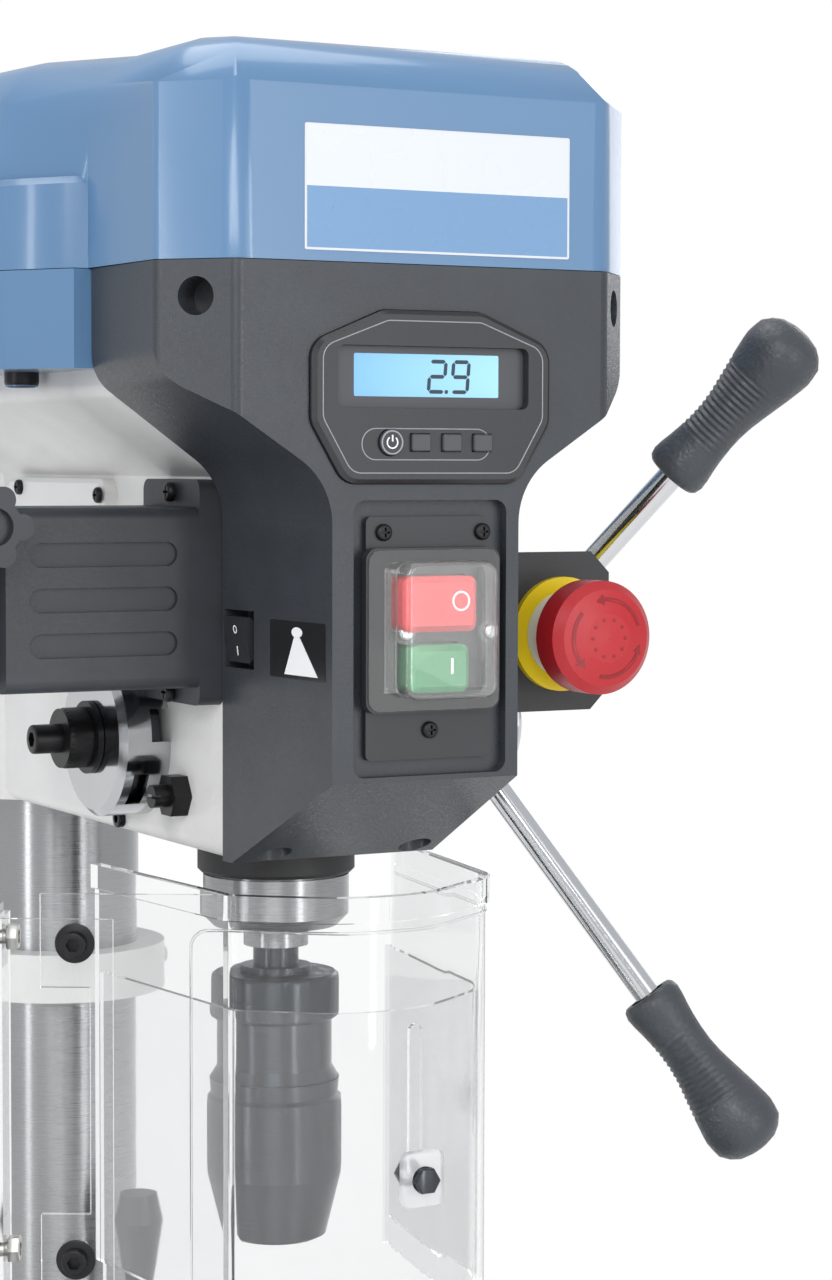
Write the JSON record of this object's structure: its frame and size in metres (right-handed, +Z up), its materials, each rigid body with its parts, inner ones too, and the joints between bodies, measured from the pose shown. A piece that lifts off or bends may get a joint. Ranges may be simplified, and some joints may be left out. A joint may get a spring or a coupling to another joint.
{
  "type": "bench drill",
  "caption": "Bench drill with a cast base, steel column, tilting slotted table, sprung quill, keyless chuck, feed levers, stepped belt drive, hinged lid, display and clear chuck guard.",
  "frame": {"origin": "centre of the base's four bolt holes, on the base's underside", "axes": "+Z up along the column; -Y the front, where the operator stands; +X the feed levers' side"},
  "size_m": [0.4035, 0.67, 1.028],
  "materials": {
    "cast_paint": "satin",
    "blue_paint": "gloss",
    "bare_steel": "satin",
    "chrome_plate": "polished",
    "table_iron": "satin",
    "black_plastic": "satin",
    "grip_rubber": "matt",
    "clear_plastic": "clear",
    "screen": "gloss",
    "black_steel": "satin",
    "red_plastic": "gloss",
    "green_plastic": "gloss",
    "yellow_plastic": "gloss",
    "silver_key": "gloss",
    "belt_rubber": "matt",
    "pulley_alloy": "satin",
    "dark_steel": "satin",
    "lamp_lens": "clear"
  },
  "bodies": {
    "frame": {"base": "cast_paint", "column_foot": "cast_paint", "foot_bolts": "bare_steel", "column": "bare_steel", "rack_collar": "cast_paint", "head_casting": "cast_paint", "front_casing": "black_plastic", "display_surround": "black_plastic", "display_screen": "screen", "switch_plate": "black_plastic", "stop_bracket": "black_steel", "stop_collar": "yellow_plastic", "work_lamp": "lamp_lens", "spring_cap": "chrome_plate", "return_spring": "dark_steel", "quill_guide_screw": "bare_steel", "belt_pan": "blue_paint", "guard_arm_box": "black_plastic", "side_cover": "cast_paint", "drive_belts": "belt_rubber", "idler_arm": "bare_steel", "rubber_ring": "grip_rubber"},
    "quill": {"quill": "bare_steel", "quill_bearings": "bare_steel"},
    "spindle": {"spindle": "bare_steel", "chuck_body": "dark_steel"},
    "chuck_sleeve": {"chuck_sleeve": "dark_steel"},
    "jaw_1": {"jaw_1": "dark_steel"},
    "jaw_2": {"jaw_2": "dark_steel"},
    "jaw_3": {"jaw_3": "dark_steel"},
    "feed": {"feed_shaft": "bare_steel", "feed_hub": "chrome_plate", "lever_rods": "chrome_plate", "lever_grips": "grip_rubber", "spring_cap_nut": "bare_steel"},
    "spindle_pulley": {"spindle_pulley": "pulley_alloy"},
    "idler_pulley": {"idler_pulley": "pulley_alloy"},
    "motor_pulley": {"motor_pulley": "pulley_alloy"},
    "motor": {"motor": "black_steel", "motor_plate": "bare_steel"},
    "belt_lid": {"belt_lid": "blue_paint"},
    "rack": {"column_rack": "bare_steel"},
    "table_bracket": {"table_bracket": "cast_paint"},
    "work_table": {"work_table": "table_iron"},
    "table_crank": {"table_crank": "black_steel"},
    "table_lock": {"table_lock": "black_plastic"},
    "guard_clamp": {"guard_clamp": "black_plastic"},
    "guard_knob": {"guard_knob": "black_plastic"},
    "guard_slide": {"guard_rod": "bare_steel", "guard_strap": "clear_plastic", "guard_shell": "clear_plastic"},
    "guard_inner": {"guard_inner": "clear_plastic"},
    "stop_button": {"stop_button": "red_plastic"},
    "start_button": {"start_button": "green_plastic"},
    "emergency_knob": {"emergency_knob": "red_plastic"},
    "power_key": {"power_key": "red_plastic"},
    "mode_key": {"mode_key": "silver_key"},
    "unit_key": {"unit_key": "silver_key"},
    "zero_key": {"zero_key": "silver_key"},
    "lamp_rocker": {"lamp_rocker": "black_plastic"}
  },
  "joints": [
    {"name": "quill_slide", "type": "slide", "parent": "frame", "child": "quill", "axis": [0, 0, -1], "range_m": [0, 0.085], "stiffness_N_per_m": 300, "springref_m": -0.3},
    {"name": "feed_turn", "type": "hinge", "parent": "frame", "child": "feed", "pos_m": [0.06, -0.063, 0.7415], "axis": [1, 0, 0], "range_deg": [0, 348]},
    {"name": "spindle_spin", "type": "hinge", "parent": "quill", "child": "spindle", "pos_m": [0, -0.105, 0.66], "axis": [0, 0, 1], "continuous": true},
    {"name": "sleeve_turn", "type": "hinge", "parent": "spindle", "child": "chuck_sleeve", "pos_m": [0, -0.105, 0.55], "axis": [0, 0, 1], "range_deg": [0, 1080]},
    {"name": "jaw_1_slide", "type": "slide", "parent": "spindle", "child": "jaw_1", "axis": [0.2387, 0.1378, 0.9613], "range_m": [0, 0.015]},
    {"name": "jaw_2_slide", "type": "slide", "parent": "spindle", "child": "jaw_2", "axis": [-0.2387, 0.1378, 0.9613], "range_m": [0, 0.015]},
    {"name": "jaw_3_slide", "type": "slide", "parent": "spindle", "child": "jaw_3", "axis": [0, -0.2756, 0.9613], "range_m": [0, 0.015]},
    {"name": "spindle_pulley_spin", "type": "hinge", "parent": "frame", "child": "spindle_pulley", "pos_m": [0, -0.105, 0.95], "axis": [0, 0, 1], "continuous": true},
    {"name": "idler_pulley_spin", "type": "hinge", "parent": "frame", "child": "idler_pulley", "pos_m": [0, 0.1, 0.95], "axis": [0, 0, 1], "continuous": true},
    {"name": "motor_slide", "type": "slide", "parent": "frame", "child": "motor", "axis": [0, 1, 0], "range_m": [-0.012, 0]},
    {"name": "motor_pulley_spin", "type": "hinge", "parent": "motor", "child": "motor_pulley", "pos_m": [0, 0.305, 0.95], "axis": [0, 0, 1], "continuous": true},
    {"name": "lid_hinge", "type": "hinge", "parent": "frame", "child": "belt_lid", "pos_m": [-0.1513, 0.1, 0.947], "axis": [0, -1, 0], "range_deg": [0, 100]},
    {"name": "table_swing", "type": "hinge", "parent": "frame", "child": "rack", "pos_m": [0, 0.15, 0.36], "axis": [0, 0, 1], "range_deg": [-90, 90]},
    {"name": "table_lift", "type": "slide", "parent": "rack", "child": "table_bracket", "axis": [0, 0, -1], "range_m": [-0.04, 0.18]},
    {"name": "crank_turn", "type": "hinge", "parent": "table_bracket", "child": "table_crank", "pos_m": [0, 0.2129, 0.36], "axis": [1, 0, 0], "range_deg": [-862, 192]},
    {"name": "table_tilt", "type": "hinge", "parent": "table_bracket", "child": "work_table", "pos_m": [0, -0.05, 0.33], "axis": [0, 1, 0], "range_deg": [-45, 45]},
    {"name": "table_lock_turn", "type": "hinge", "parent": "table_bracket", "child": "table_lock", "pos_m": [0.014, 0.077, 0.391], "axis": [0, 1, 0], "range_deg": [0, 90]},
    {"name": "guard_swing", "type": "hinge", "parent": "frame", "child": "guard_clamp", "pos_m": [-0.155, -0.125, 0.815], "axis": [0, 0, -1], "range_deg": [0, 110]},
    {"name": "guard_knob_turn", "type": "hinge", "parent": "guard_clamp", "child": "guard_knob", "pos_m": [-0.155, -0.166, 0.8365], "axis": [0, 1, 0], "range_deg": [0, 360]},
    {"name": "guard_height", "type": "slide", "parent": "guard_clamp", "child": "guard_slide", "axis": [0, 0, 1], "range_m": [-0.03, 0.008]},
    {"name": "guard_inner_slide", "type": "slide", "parent": "guard_slide", "child": "guard_inner", "axis": [0, 0, -1], "range_m": [0, 0.06]},
    {"name": "stop_press", "type": "slide", "parent": "frame", "child": "stop_button", "axis": [0, 1, 0], "range_m": [0, 0.003], "stiffness_N_per_m": 600},
    {"name": "start_press", "type": "slide", "parent": "frame", "child": "start_button", "axis": [0, 1, 0], "range_m": [0, 0.003], "stiffness_N_per_m": 600},
    {"name": "emergency_press", "type": "slide", "parent": "frame", "child": "emergency_knob", "axis": [0, 1, 0], "range_m": [0, 0.006]},
    {"name": "power_key_press", "type": "slide", "parent": "frame", "child": "power_key", "axis": [0, 1, 0], "range_m": [0, 0.001], "stiffness_N_per_m": 400},
    {"name": "mode_key_press", "type": "slide", "parent": "frame", "child": "mode_key", "axis": [0, 1, 0], "range_m": [0, 0.001], "stiffness_N_per_m": 400},
    {"name": "unit_key_press", "type": "slide", "parent": "frame", "child": "unit_key", "axis": [0, 1, 0], "range_m": [0, 0.001], "stiffness_N_per_m": 400},
    {"name": "zero_key_press", "type": "slide", "parent": "frame", "child": "zero_key", "axis": [0, 1, 0], "range_m": [0, 0.001], "stiffness_N_per_m": 400},
    {"name": "lamp_rocker_turn", "type": "hinge", "parent": "frame", "child": "lamp_rocker", "pos_m": [-0.0395, -0.1675, 0.7895], "axis": [0, 1, 0], "range_deg": [0, 12]}
  ],
  "couplings": [
    {"joint": "feed_turn", "follows": "quill_slide", "rad_per_m": 71.429},
    {"joint": "spindle_pulley_spin", "follows": "spindle_spin", "ratio": 1},
    {"joint": "idler_pulley_spin", "follows": "spindle_spin", "ratio": 2.2381},
    {"joint": "motor_pulley_spin", "follows": "spindle_spin", "ratio": 3.2961},
    {"joint": "crank_turn", "follows": "table_lift", "rad_per_m": -83.333},
    {"joint": "jaw_1_slide", "follows": "sleeve_turn", "m_per_rad": 0.00079577},
    {"joint": "jaw_2_slide", "follows": "sleeve_turn", "m_per_rad": 0.00079577},
    {"joint": "jaw_3_slide", "follows": "sleeve_turn", "m_per_rad": 0.00079577}
  ]
}
